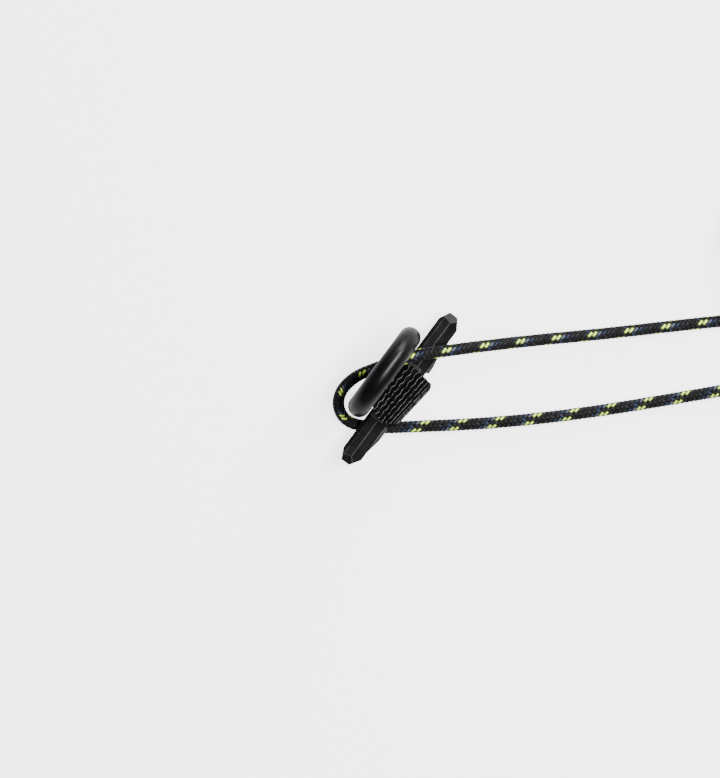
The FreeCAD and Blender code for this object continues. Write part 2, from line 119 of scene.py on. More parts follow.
# cord: a 3 mm braid of sixteen yarns, black and navy, with a pair of lime tracer yarns
cordSet = {
    "diameter": 3.0,  # mm
    "braidPitch": 9.2,  # one turn of a yarn
    "mostPitches": 200,  # more than the longest run has
    "yarnsEachWay": 8,
    "over": 2,  # crossings that a yarn floats over, before it dives under as many
    "leftShift": 3, "rightShift": 1,  # crossings by which each family's floats are set on
    "relief": 0.19,  # how far a yarn stands over the dip beside it
    "floatEnds": 0.45,  # the share of that height that is left at a float's two ends
    "fineSpacing": 0.18,  # between rings where the cord is seen close
    "coilSpacing": 0.52,  # and where it is put away
    "steps": 32,  # round a ring
    "pathPoints": 1500,  # at most, in the line that is handed on with the cord
}
upperStrand = {
    "way": 1,  # the braid's pattern runs outwards from the grip
    "phase": 0.15625,  # where in a turn the tracers lie on top of the braid
    "marks": (4.75, 13.4, 22.9),  # mm along, where the tracers come up, one braid turn apart
    "roll": ((0, 0.016), (100, 0.016)),  # mm along, and turns that the braid is rolled there
    "fineLength": 112,  # mm, with rings at the fine spacing
}
tailStrand = {
    "way": -1,  # the same cord goes on through the grip, so here the pattern runs inwards
    "phase": 0.34375,
    "marks": (7.55, 14.63, 22.23, 32.15, 42.07, 51.31),
    "roll": ((22, -0.0225), (42, 0.0935)),
    "fineLength": 200,
}
upperRoute = [  # mm, from the grip over the right wing and away to the coil
    (4.0, 5.2, 12.2), (8.2, 2.3, 12.3), (13.6, -3.2, 12.1), (19.6, -9.4, 10.2), (28.6, -19.0, 6.3),
    (39.9, -31.6, 2.9), (51.5, -44.1, 1.7), (61.0, -54.4, 1.5), (68.9, -63.6, 1.6), (76.1, -72.5, 1.5),
]
tailRoute = [  # mm, from the grip round the hoop's left limb, under the left wing and away
    (4.0, 5.2, 12.2), (-0.2, 8.1, 12.1), (-4.2, 10.4, 10.8), (-8.5, 11.2, 8.6), (-12.0, 9.9, 6.2),
    (-13.9, 7.0, 4.0), (-13.7, 3.8, 2.2), (-12.2, 1.0, 1.6), (-10.4, -2.2, 1.55), (-7.3, -6.1, 1.5),
    (-2.0, -12.7, 1.55), (5.5, -21.9, 1.5), (15.0, -32.6, 1.55), (25.6, -43.6, 1.5),
    (36.6, -54.3, 1.5), (45.6, -62.9, 2.0), (50.6, -67.7, 3.6),
]
coilSet = {
    "centre": (92.9, -60.0),
    "middleDiameter": 33.0,
    "lanes": 4,
    "turns": 10.12,
    "pointsPerTurn": 14,
    "wander": 0.12,  # mm, how unevenly the turns lie
    "lift": 0.03,
    "layerRise": 0.97,  # of a diameter, as each layer sinks a little into the one below
    "endRise": 4.4,  # how far the last of the coil climbs to the knot
    "endTurns": 0.25,  # over this share of a turn
    "seed": 7,
}


# the angle grows evenly; the radius steps one lane a turn, in and out by turns of layer, and each
# full layer is one layer's rise higher
def coilRoute(s, cord, start):
    rng = np.random.default_rng(s["seed"])
    count = int(s["turns"] * s["pointsPerTurn"])
    turn = np.arange(1, count + 1) / s["pointsPerTurn"]
    first = np.arctan2(start[1] - s["centre"][1], start[0] - s["centre"][0])
    angle = first + turn * 2 * np.pi
    layer = np.floor(turn / s["lanes"])
    inLayer = turn - layer * s["lanes"]
    step = np.clip(inLayer, 0, s["lanes"] - 1)
    fromOutside = np.where(layer % 2 == 0, step, s["lanes"] - 1 - step)
    climb = np.clip(inLayer - (s["lanes"] - 1), 0, 1)
    outer = s["middleDiameter"] / 2 + (s["lanes"] - 1) / 2 * cord["diameter"]
    radius = outer - fromOutside * cord["diameter"] + rng.uniform(-1, 1, count) * s["wander"]
    height = cord["diameter"] * (0.5 + s["layerRise"] * (layer + climb))
    height += np.abs(rng.normal(0, s["lift"], count))
    height += s["endRise"] * np.clip((turn - s["turns"]) / s["endTurns"] + 1, 0, 1) ** 2
    x = s["centre"][0] + radius * np.cos(angle)
    y = s["centre"][1] + radius * np.sin(angle)
    return np.stack([x, y, height], -1)


# the points of a smooth spline through a route's control points, as Blender works them out
def splinePoints(name, route):
    curve = bpy.data.curves.new(name, "CURVE")
    curve.dimensions = "3D"
    spline = curve.splines.new("NURBS")
    spline.points.add(len(route) - 1)
    weighted = np.column_stack([np.array(route) * mm, np.ones(len(route))])
    spline.points.foreach_set("co", weighted.ravel())
    spline.order_u = 3
    spline.use_endpoint_u = True
    spline.resolution_u = 24
    guide = bpy.data.objects.new(name, curve)
    line = bpy.data.meshes.new_from_object(guide)
    points = np.zeros(len(line.vertices) * 3)
    line.vertices.foreach_get("co", points)
    bpy.data.objects.remove(guide)
    return points.reshape(-1, 3)


# yarn height over the braid: with u and v counted along the two helices, a yarn of either way
# is on top over two crossings and under for two, one crossing on from the yarn before it, so that
# floats stand in columns along the cord; the height is sqrt(1 - (2 across - 1)^2), a half round
# over a yarn's width, times a sine over the float's length that starts from the floatEnds share
def braidRelief(along, turns, cord):
    n, over, ends = cord["yarnsEachWay"], cord["over"], cord["floatEnds"]
    u, v = n * (turns + along), n * (turns - along)
    i, j = np.floor(u), np.floor(v)
    floatLeft = (v + i + cord["leftShift"]) % (2 * over)
    floatRight = (u + j + cord["rightShift"]) % (2 * over)
    across = np.where(floatLeft < over, u - i, v - j)
    arch = np.sin(np.pi / over * np.where(floatLeft < over, floatLeft, floatRight))
    return np.sqrt(np.clip(1 - (2 * across - 1) ** 2, 0, 1)) * (ends + (1 - ends) * np.clip(arch, 0, 1))


# braid turns along the cord: one more at each mark, and one every pitch past the last mark
def braidTurns(at, strand, cord):
    marks, pitch = strand["marks"], cord["braidPitch"]
    further = marks[-1] + pitch * np.arange(1, cord["mostPitches"])
    stops = np.concatenate([[marks[0] - pitch], marks, further]) * mm
    return np.interp(at, stops, np.arange(len(stops))) + strand["phase"]


# a braided tube round a line of centres, with radius d / 2 - relief * (1 - yarn height); the frame
# at each ring is turned back by the braid's roll
def braidTube(centres, ups, at, cord, strand):
    heading = unit(np.gradient(centres, axis=0))
    sides = unit(np.cross(heading, ups))
    ups = np.cross(sides, heading)
    rollAt, roll = np.array(strand["roll"]).T
    back = -2 * np.pi * np.interp(at, rollAt * mm, roll)[:, None]
    sides, ups = np.cos(back) * sides + np.sin(back) * ups, np.cos(back) * ups - np.sin(back) * sides
    along = braidTurns(at, strand, cord)
    turns = np.arange(cord["steps"]) / cord["steps"]
    height = braidRelief(strand["way"] * along[:, None], strand["way"] * turns[None], cord)
    radius = (cord["diameter"] / 2 - cord["relief"] * (1 - height)) * mm
    points, faces, lay = tubeArrays(centres, sides, ups, radius, along)
    return points, faces, lay * strand["way"]


# how far along a line each of its points is
def gonePast(line):
    return np.concatenate([[0], np.cumsum(np.linalg.norm(np.diff(line, axis=0), axis=1))])


# the cord along its route, with close rings over its fine length and wider ones past it
def braidedCord(name, route, cord, strand):
    line = splinePoints(name, route)
    gone = gonePast(line)
    fine = min(strand["fineLength"] * mm, gone[-1])
    at = np.linspace(0, fine, int(fine / mm / cord["fineSpacing"]))
    if gone[-1] > fine:
        more = np.linspace(fine, gone[-1], int((gone[-1] - fine) / mm / cord["coilSpacing"]))
        at = np.concatenate([at, more[1:]])
    centres = np.stack([np.interp(at, gone, line[:, k]) for k in range(3)], -1)
    up = np.array([[0.0, 0.0, 1.0]])
    points, faces, lay = braidTube(centres, up, at, cord, strand)
    piece = addPiece(name, points, faces, "frame", lay)
    print(name, "is", round(gone[-1] / mm), "mm long,", len(faces), "faces")
    return piece, centres[:: max(1, len(centres) // cord["pathPoints"])], gone[-1]


coilPoints = coilRoute(coilSet, cordSet, upperRoute[-1])
upperCord, upperPath, upperLength = braidedCord("upperCordBraid", upperRoute + coilPoints.tolist(),
                                                cordSet, upperStrand)
tailCord, tailPath, tailLength = braidedCord("tailCordBraid", tailRoute, cordSet, tailStrand)

# stopper knots: the cord wound twice round its own axis in three lobes, drawn tight
knotSet = {
    "ringRadius": 2.05,  # mm, of the line that the lobes swing about
    "lobeRadius": 1.25,
    "lobes": 3, "windings": 2,
    "strand": 2.7,  # the cord is squeezed a little in the knot
    "length": 7.5,  # along the cord
    "points": 300,
    "stub": 4.5,  # of cord left past the knot
    "stubRings": 60,
    "beadSteps": 24,  # along the melted bead, and round it
    "beadHalf": 1.1,  # half its length
    "beadBlunt": 0.6,  # the power of the sine that rounds it: the lower, the blunter
    "beadFlare": 0.12,  # how far it stands out past the cord
    "beadOut": 0.25,  # how far its middle lies past the last of the braid, in half lengths
    "beadLumps": 0.05, "lumpWaves": 3, "lumpPhase": 1.0,
}


# the knot's line: (R + r cos 3t) round the cord's axis by 2t, and a sine of 3t along it, with the
# yarns' relief on its tube; the melted end is a bead of radius d / 2 * sin(t)^blunt + flare * sin t
def stopperKnot(name, end, heading, s, cord, strand):
    heading = unit(np.array(heading))
    side = unit(np.cross(heading, [0.0, 0.0, 1.0]))
    up = np.cross(side, heading)
    middle = np.array(end) + heading * s["length"] / 2 * mm
    t = np.arange(s["points"]) * 2 * np.pi / s["points"]
    out = (s["ringRadius"] + s["lobeRadius"] * np.cos(s["lobes"] * t)) * mm
    reach = (s["length"] - s["strand"]) / 2 * mm * np.sin(s["lobes"] * t)
    winding = s["windings"] * t
    spoke = np.cos(winding)[:, None] * side + np.sin(winding)[:, None] * up
    line = middle + out[:, None] * spoke + reach[:, None] * heading
    around = np.concatenate([line[-2:], line, line[:2]])
    core = middle + s["ringRadius"] * mm * np.concatenate([spoke[-2:], spoke, spoke[:2]])
    length = gonePast(around)[2:-2] - gonePast(around)[2]
    whole = gonePast(np.append(line, line[:1], axis=0))[-1]
    turns = np.round(whole / cord["braidPitch"] / mm)  # a whole number, so that the braid meets itself
    along = length / whole * turns
    tangent = unit(np.gradient(around, axis=0))[2:-2]
    outward = unit((around - core)[2:-2])
    sides = unit(np.cross(tangent, outward))
    ups = np.cross(sides, tangent)
    share = np.arange(cord["steps"]) / cord["steps"]
    relief = cord["relief"] * (1 - braidRelief(along[:, None], share[None], cord))
    points, faces, lay = tubeArrays(line, sides, ups, (s["strand"] / 2 - relief) * mm, along, True)
    knot = addPiece(name, points, faces, "frame", lay)

    far = np.linspace(0, s["length"] / 2 + s["stub"], s["stubRings"]) * mm
    stubLine = middle + far[:, None] * heading
    points, faces, lay = braidTube(stubLine, up[None], far, cord, strand)
    stub = addPiece(name + "Stub", points, faces, "frame", lay)

    nearPole = 0.001  # the bead's end rings are all but points
    t = np.linspace(nearPole, np.pi - nearPole, s["beadSteps"])
    profile = (cord["diameter"] / 2 * np.sin(t) ** s["beadBlunt"] + s["beadFlare"] * np.sin(t)) * mm
    beadLine = stubLine[-1] + ((s["beadOut"] - np.cos(t)) * s["beadHalf"] * mm)[:, None] * heading
    round1 = np.arange(s["beadSteps"]) * 2 * np.pi / s["beadSteps"]
    lumps = 1 + s["beadLumps"] * np.sin(s["lumpWaves"] * round1 + s["lumpPhase"])[None]
    straight = np.tile(heading, (len(t), 1))
    points, faces, lay = tubeArrays(beadLine, np.cross(straight, up[None]), np.tile(up, (len(t), 1)),
                                    profile[:, None] * lumps, t)
    bead = addPiece(name + "SealedEnd", points, faces, "frame")
    return knot, stub, bead


# the way a cord runs where it stops
def headingAtEnd(path):
    return path[-1] - path[-3]


upperEnd = stopperKnot("coilStopperKnot", upperPath[-1], headingAtEnd(upperPath), knotSet, cordSet,
                       upperStrand)
tailEnd = stopperKnot("tailStopperKnot", tailPath[-1], headingAtEnd(tailPath), knotSet, cordSet,
                      tailStrand)
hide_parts("upper_cord", "cord_coil")
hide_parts("tail_cord")
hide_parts("coil_knot")
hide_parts("tail_knot")
print("cords and knots made")


# ribbed pad moulded over the slide: u runs along it, v towards the hoop, in mm
padSet = {
    "slideX": -1.35,  # where the slide's own frame stands
    "slideTurn": -6.5,  # degrees, from the bar's
    "axisV": 0.46, "axisZ": 5.9,  # of the barrel under the pad
    "halfWidth": 6.12, "rise": 6.24,  # of the section over that axis
    "squareness": 2.5,  # 2 would make the section round
    "sectionStart": 0.06,  # of half a turn, from the hoop's side
    "sectionPoints": 4000,
    "backV": 2.75,  # the section starts here, by the hoop
    "frontZ": 4.1, "frontLean": 0.15,  # and ends here, leaning in a little
    "halfLength": 7.42,
    "nose": ((-4.5, -5.75), (-7.42, -0.9), (-4.2, 3.25)),  # plan of the domed left end
    "corner": (1.1, 0.8),  # bevel of the right end's front corner; the back one has half of it
    "ribs": 12,
    "ribDepth": 0.42,
    "ribSharpness": 0.75,
    "fan": 0.075,  # the ribs by the hoop lean this much more to the bar's own direction
    "wave": 0.22, "waveLength": 2.3,  # mm, of the ribs by the hoop
    "leanFade": 1.6,  # lean and wave are gone by one over this share of the section
    "dish": 0.04,  # how far the middle of the pad dips for the thumb
    "dishV": 0.2, "dishHalfWidth": 3.6, "dishHalfLength": 3.4,
    "thickness": 0.8,
    "across": 15, "lengthwise": 150,  # points to a rib, and along the pad
}


# a circle through three points in the plan, as its middle and its radius
def circleThrough(a, b, c):
    a, b, c = np.array(a), np.array(b), np.array(c)
    rows = 2 * np.array([b - a, c - a])
    middle = np.linalg.solve(rows, [b @ b - a @ a, c @ c - a @ a])
    return middle, np.linalg.norm(a - middle)


# the pad's section is a squarish ellipse, |v / w|^n + |z / h|^n = 1, walked at even steps of its
# length; the skin lies under it by depth * |sin(pi * rib)|^sharpness, so that a crest is a sharp line
# where the rib number is whole, and by the thumb's dish; each row is clipped to the plan, and the
# same section one thickness further in closes the skin
def ribbedPad(name, s):
    t = np.linspace(s["sectionStart"] * np.pi, np.pi, s["sectionPoints"])
    power = 2 / s["squareness"]
    v = s["axisV"] + s["halfWidth"] * np.sign(np.cos(t)) * np.abs(np.cos(t)) ** power
    z = s["axisZ"] + s["rise"] * np.sin(t) ** power
    v, z = v[v < s["backV"]], z[v < s["backV"]]
    v, z = np.append(v, v[-1] + s["frontLean"]), np.append(z, s["frontZ"])
    gone = np.append(0, np.cumsum(np.hypot(np.diff(v), np.diff(z))))
    at = np.linspace(0, gone[-1], s["ribs"] * s["across"] + 1)
    section = np.stack([np.interp(at, gone, v), np.interp(at, gone, z)], -1)
    slope = unit(np.gradient(section, axis=0))
    outward = np.stack([slope[:, 1], -slope[:, 0]], -1)

    u = np.linspace(-s["halfLength"], s["halfLength"], s["lengthwise"])
    byHoop = np.clip(1 - at / gone[-1] * s["leanFade"], 0, 1)[:, None]
    waving = s["wave"] * np.sin(2 * np.pi * u / s["waveLength"] + at[:, None])
    rib = (at[:, None] + byHoop * (s["fan"] * u + waving)) / gone[-1] * s["ribs"]
    valley = np.abs(np.sin(np.pi * rib)) ** s["ribSharpness"]
    dishAcross = np.clip(1 - np.abs(section[:, :1] - s["dishV"]) / s["dishHalfWidth"], 0, 1)
    sunk = s["ribDepth"] * valley + s["dish"] * np.exp(-(u / s["dishHalfLength"]) ** 2) * dishAcross
    inner = (section - outward * s["thickness"])[::-1]
    skinV = np.concatenate([section[:, :1] - outward[:, :1] * sunk, inner[:, :1] + 0 * u])
    skinZ = np.concatenate([section[:, 1:] - outward[:, 1:] * sunk, inner[:, 1:] + 0 * u])

    (noseU, noseV), radius = circleThrough(*s["nose"])
    bulge = np.sqrt(np.clip(radius ** 2 - (u - noseU) ** 2, 0, None))
    along, over = s["corner"]
    bevel = over * np.clip((u - (s["halfLength"] - along)) / along, 0, 1)
    front = np.where(u < s["nose"][0][0], noseV - bulge, -np.inf)
    front = np.maximum(front, s["axisV"] - s["halfWidth"] + bevel)
    back = np.where(u < s["nose"][2][0], noseV + bulge, np.inf)
    skinV = np.clip(skinV, front, np.minimum(back, s["backV"] - bevel / 2))
    turn = np.radians(s["slideTurn"])
    x = s["slideX"] + u * np.cos(turn) - skinV * np.sin(turn)
    y = u * np.sin(turn) + skinV * np.cos(turn)
    points = np.stack([x, y, skinZ], -1) * mm

    rows, columns = skinV.shape
    i = np.arange(rows)[:, None]
    j = np.arange(columns - 1)[None]
    down = (i + 1) % rows
    quads = np.stack([i * columns + j, down * columns + j, down * columns + j + 1,
                      i * columns + j + 1], -1).reshape(-1, 4)
    left = np.arange(rows) * columns
    right = left + columns - 1
    faces = quads.tolist() + [left[::-1].tolist(), right.tolist()]
    inside = np.full((rows - len(rib), columns), 0.5)
    values = np.stack([np.tile(u, rows), np.concatenate([rib, inside]).ravel()], -1)
    lay = values[np.concatenate([quads.ravel(), left[::-1], right])]
    pad = addPiece(name, points.reshape(-1, 3), faces, "slide", lay)
    print(name, "has", len(faces), "faces")
    return pad


thumbPad = ribbedPad("ribbedThumbPad", padSet)


# materials: a node of a kind, with settings and with values or links for its inputs
def node(tree, kind, values=None, **settings):
    made = tree.nodes.new("ShaderNode" + kind)
    for key, value in settings.items():
        setattr(made, key, value)
    for socket, value in (values or {}).items():
        if isinstance(value, bpy.types.NodeSocket):
            tree.links.new(value, made.inputs[socket])
        else:
            made.inputs[socket].default_value = value
    return made


def calc(tree, operation, *inputs):
    return node(tree, "Math", dict(enumerate(inputs)), operation=operation).outputs[0]


def noiseAt(tree, vector, scale, detail=3.0, roughness=0.6):
    values = {"Vector": vector, "Scale": scale, "Detail": detail, "Roughness": roughness}
    return node(tree, "TexNoise", values).outputs["Fac"]


noiseSpan = (0.3, 0.7)  # where most of a noise's values lie


# a value that goes over its reach as fac goes over a span
def between(tree, fac, span, reach=(0.0, 1.0)):
    values = {"Value": fac, "From Min": span[0], "From Max": span[1], "To Min": reach[0],
              "To Max": reach[1]}
    return node(tree, "MapRange", values).outputs["Result"]


def blendColours(tree, fac, a, b):
    made = node(tree, "Mix", data_type="RGBA")
    for socket, value in ((0, fac), (6, a), (7, b)):
        if isinstance(value, bpy.types.NodeSocket):
            tree.links.new(value, made.inputs[socket])
        elif socket:
            made.inputs[socket].default_value = (*value, 1)
        else:
            made.inputs[socket].default_value = value
    return made.outputs[2]


def newMaterial(name):
    material = bpy.data.materials.new(name)
    material.use_nodes = True
    tree = material.node_tree
    shader = tree.nodes["Principled BSDF"]
    place = node(tree, "TexCoord").outputs["Object"]
    return material, tree, shader, place


# place, squeezed by a scale each way and turned about the vertical
def stretched(tree, place, scale, turn=0.0):
    values = {"Vector": place, "Scale": scale, "Rotation": (0, 0, np.radians(turn))}
    return node(tree, "Mapping", values).outputs["Vector"]


# moulded plastic: a cloudy near-black body, a fine grain, edges that catch the light and are paler,
# partly from wear and partly as a painted highlight, faint rubs along one way and a little dust in the
# recesses
def mouldedPlastic(name, s):
    material, tree, shader, place = newMaterial(name)
    clouds = noiseAt(tree, place, s["cloudScale"])
    grain = noiseAt(tree, place, s["grainScale"], 2.0)
    rubs = noiseAt(tree, stretched(tree, place, s["rubStretch"], s["rubTurn"]), 1.0, 4.0, 0.7)
    rounded = node(tree, "Bevel", {"Radius": s["edgeRadius"] * mm}, samples=6).outputs["Normal"]
    flat = node(tree, "NewGeometry").outputs["Normal"]
    agree = node(tree, "VectorMath", {0: rounded, 1: flat}, operation="DOT_PRODUCT").outputs["Value"]
    # the paler colour along the edges is partly wear and partly a painted highlight
    edge = between(tree, agree, (1.0, s["edgeAgree"]))
    wornAndHighlitEdge = calc(tree, "MULTIPLY", edge, between(tree, clouds, s["wearSpan"], s["wearReach"]))
    hollow = node(tree, "AmbientOcclusion", {"Distance": s["dustReach"] * mm}, samples=6).outputs["AO"]
    specks = between(tree, noiseAt(tree, place, s["speckScale"], 5.0, 0.75), s["speckSpan"])
    dustHere = between(tree, hollow, s["hollowSpan"], (s["openDust"], s["deepDust"]))
    dust = calc(tree, "MULTIPLY", specks, dustHere)
    body = blendColours(tree, between(tree, clouds, noiseSpan), s["dark"], s["light"])
    wornAndHighlit = blendColours(tree, calc(tree, "MULTIPLY", wornAndHighlitEdge, s["wearAndHighlightShare"]), body, s["edge"])
    dusty = blendColours(tree, dust, wornAndHighlit, s["dust"])
    tree.links.new(dusty, shader.inputs["Base Color"])
    rubbed = between(tree, rubs, s["rubSpan"], (-s["rubGloss"], s["rubGloss"]))
    rough = calc(tree, "ADD", between(tree, clouds, noiseSpan, s["roughness"]), rubbed)
    tree.links.new(rough, shader.inputs["Roughness"])
    shader.inputs["Specular IOR Level"].default_value = s["specular"]
    height = calc(tree, "ADD", grain, calc(tree, "MULTIPLY", rubs, s["rubDepth"]))
    bump = node(tree, "Bump", {"Strength": s["grainStrength"], "Distance": s["grainDepth"] * mm,
                               "Height": height, "Normal": rounded})
    tree.links.new(bump.outputs["Normal"], shader.inputs["Normal"])
    return material


# metal: a bright or blackened surface with fine lines along one way and cloudy tarnish
def workedMetal(name, s):
    material, tree, shader, place = newMaterial(name)
    clouds = noiseAt(tree, place, s["cloudScale"])
    lines = noiseAt(tree, stretched(tree, place, s["lineStretch"]), 1.0, 3.0, 0.6)
    rounded = node(tree, "Bevel", {"Radius": s["edgeRadius"] * mm}, samples=4).outputs["Normal"]
    colour = blendColours(tree, between(tree, clouds, s["tarnishSpan"]), s["bright"], s["tarnish"])
    tree.links.new(colour, shader.inputs["Base Color"])
    tree.links.new(between(tree, lines, noiseSpan, s["roughness"]), shader.inputs["Roughness"])
    shader.inputs["Metallic"].default_value = 1.0
    bump = node(tree, "Bump", {"Strength": s["lineStrength"], "Distance": s["lineDepth"] * mm,
                               "Height": lines, "Normal": rounded})
    tree.links.new(bump.outputs["Normal"], shader.inputs["Normal"])
    return material


# braid: the two families of yarns are told apart by the crossing rule of braidRelief, each yarn has
# its own colour, with painted shade in the dips at its sides and ends and a painted highlight on its
# crown, and filaments run along it with painted shade between them
braidSet = {
    "yarns": {  # linear colours, by the yarn's number in its family
        "lime": (0.62, 0.86, 0.12),
        "steel": (0.055, 0.068, 0.100),
        "navy": (0.014, 0.020, 0.044),
        "black": (0.011, 0.0115, 0.0135),
        "dark": (0.004, 0.0043, 0.0052),
    },
    "leftYarns": ("dark", "black", "dark", "navy", "dark", "black", "dark", "dark"),
    "rightYarns": ("lime", "lime", "black", "dark", "black", "black", "navy", "steel"),
    "filaments": 7.0,  # across a yarn
    "fuzzScale": 5200.0,
    "crownSpan": (0.3, 0.95), "archSpan": (0.05, 0.7),  # from a yarn's dips to its full colour
    # the dip shade runs from painted shade in a yarn's dips to a painted highlight on its crown, past its
    # own colour; filamentShade is painted shade between the filaments
    "paintedDipShadeAndCrownHighlight": (0.10, 1.15), "fuzzShade": (0.75, 1.25), "filamentShade": (0.85, 1.0),
    "bumpStrength": 0.8,
    "bumpDepth": 0.12,  # mm
    "bumpEnds": 0.2, "filamentBump": 0.10, "fuzzBump": 0.25,  # shares of that depth
    "roughness": (0.40, 0.62),
    "specular": 0.10,
    "sheen": 0.01,
    "sheenRoughness": 0.4,
}


# a ramp of even steps, one to a yarn; each step starts a little early, so that a yarn's own number
# falls well inside it
def yarnColour(tree, number, names, colours):
    count, early = len(names), 0.01
    inFamily = calc(tree, "FLOORED_MODULO", number, float(count))
    ramp = node(tree, "ValToRGB", {"Fac": calc(tree, "DIVIDE", inFamily, float(count))})
    ramp.color_ramp.interpolation = "CONSTANT"
    stops = ramp.color_ramp.elements
    stops[0].position, stops[0].color = 0.0, (*colours[names[0]], 1)
    stops[1].position, stops[1].color = (1 - early) / count, (*colours[names[1]], 1)
    for k in range(2, count):
        stops.new((k - early) / count).color = (*colours[names[k]], 1)
    return ramp.outputs["Color"]


# u = n (b + a) and v = n (b - a), with a the braid turns along and b the share of the way round;
# crown is a half sine over a yarn's width, arch one over a float's length, and their product takes
# the colour from painted shade in the dips up to a painted highlight on the crown, a little past the
# yarn's own colour; the filaments add fine painted shade between them
def braidMaterial(name, s, cord):
    material, tree, shader, place = newMaterial(name)
    each, over, period = float(cord["yarnsEachWay"]), float(cord["over"]), 2.0 * cord["over"]
    lay = node(tree, "SeparateXYZ", {"Vector": node(tree, "UVMap", uv_map="lay").outputs["UV"]})
    a = calc(tree, "MULTIPLY", lay.outputs["X"], each)
    b = calc(tree, "MULTIPLY", lay.outputs["Y"], each)
    u, v = calc(tree, "ADD", b, a), calc(tree, "SUBTRACT", b, a)
    i, j = calc(tree, "FLOOR", u), calc(tree, "FLOOR", v)

    def floatShare(first, second, shift):  # how far on in its float and its dive a yarn is
        moved = calc(tree, "ADD", calc(tree, "ADD", first, second), float(shift))
        return calc(tree, "FLOORED_MODULO", moved, period)

    floatLeft = floatShare(v, i, cord["leftShift"])
    floatRight = floatShare(u, j, cord["rightShift"])
    leftUp = calc(tree, "LESS_THAN", floatLeft, over)

    def pick(right, left):  # the value for whichever family is on top
        return node(tree, "Mix", {0: leftUp, 2: right, 3: left}).outputs[0]

    across = pick(calc(tree, "SUBTRACT", v, j), calc(tree, "SUBTRACT", u, i))
    alongYarn = pick(floatRight, floatLeft)
    crown = calc(tree, "SINE", calc(tree, "MULTIPLY", across, np.pi))
    arch = calc(tree, "SINE", calc(tree, "MULTIPLY", alongYarn, np.pi / over))
    threads = calc(tree, "SINE", calc(tree, "MULTIPLY", across, s["filaments"] * 2 * np.pi))
    fuzz = noiseAt(tree, place, s["fuzzScale"], 4.0, 0.7)

    left = yarnColour(tree, i, s["leftYarns"], s["yarns"])
    right = yarnColour(tree, j, s["rightYarns"], s["yarns"])
    colour = blendColours(tree, leftUp, right, left)
    # painted shade in the dips and between the filaments, and a painted highlight on each crown, scale
    # the yarn's colour, together with the fuzz's random tone
    top = calc(tree, "MULTIPLY", between(tree, crown, s["crownSpan"]), between(tree, arch, s["archSpan"]))
    paintedShadeHighlightAndFuzz = calc(tree, "MULTIPLY", between(tree, top, (0.0, 1.0), s["paintedDipShadeAndCrownHighlight"]),
                 between(tree, fuzz, noiseSpan, s["fuzzShade"]))
    paintedShadeHighlightAndFuzz = calc(tree, "MULTIPLY", paintedShadeHighlightAndFuzz, between(tree, threads, (-1.0, 1.0), s["filamentShade"]))
    shaded = node(tree, "VectorMath", {0: colour}, operation="SCALE")
    tree.links.new(paintedShadeHighlightAndFuzz, shaded.inputs["Scale"])
    tree.links.new(shaded.outputs["Vector"], shader.inputs["Base Color"])
    tree.links.new(between(tree, fuzz, noiseSpan, s["roughness"]), shader.inputs["Roughness"])
    shader.inputs["Sheen Weight"].default_value = s["sheen"]
    shader.inputs["Sheen Roughness"].default_value = s["sheenRoughness"]
    shader.inputs["Specular IOR Level"].default_value = s["specular"]
    yarnHeight = calc(tree, "MULTIPLY", crown, calc(tree, "MAXIMUM", arch, s["bumpEnds"]))
    fineHeight = calc(tree, "ADD", calc(tree, "MULTIPLY", threads, s["filamentBump"]),
                      calc(tree, "MULTIPLY", fuzz, s["fuzzBump"]))
    bump = node(tree, "Bump", {"Strength": s["bumpStrength"], "Distance": s["bumpDepth"] * mm,
                               "Height": calc(tree, "ADD", yarnHeight, fineHeight)})
    tree.links.new(bump.outputs["Normal"], shader.inputs["Normal"])
    return material


# pad: black between the ribs, with painted shade darkest in the valleys, and along each crest a thin
# pale line that is a painted highlight, broken into beads by noise and by fine cross cuts
padFinish = {
    # the valley colour is painted shade in the grooves, the flank colour the ribs' own black, and the
    # crest colour a painted highlight along each crest
    "valley": (0.0003, 0.0003, 0.0004), "flank": (0.0015, 0.0015, 0.0016),
    "grooveShadeSpan": (0.05, 0.6),  # nearness to a crest, where valley turns to flank
    "crest": (0.22, 0.22, 0.21),
    "crestHighlightSpan": (0.74, 1.0),  # where the pale line comes up
    "roughness": (0.50, 0.65), "specular": 0.025,
    "beadScale": 1500.0, "beadSpan": (0.38, 0.58), "beadShade": (0.08, 1.0),
    "cutsPerMm": 2.6, "cutSpan": (-1.0, 0.3), "cutShade": (0.45, 1.0),
    "grainScale": 6000.0, "grainShare": 0.6,
    "bumpStrength": 0.6, "cutDepth": 0.03,
}


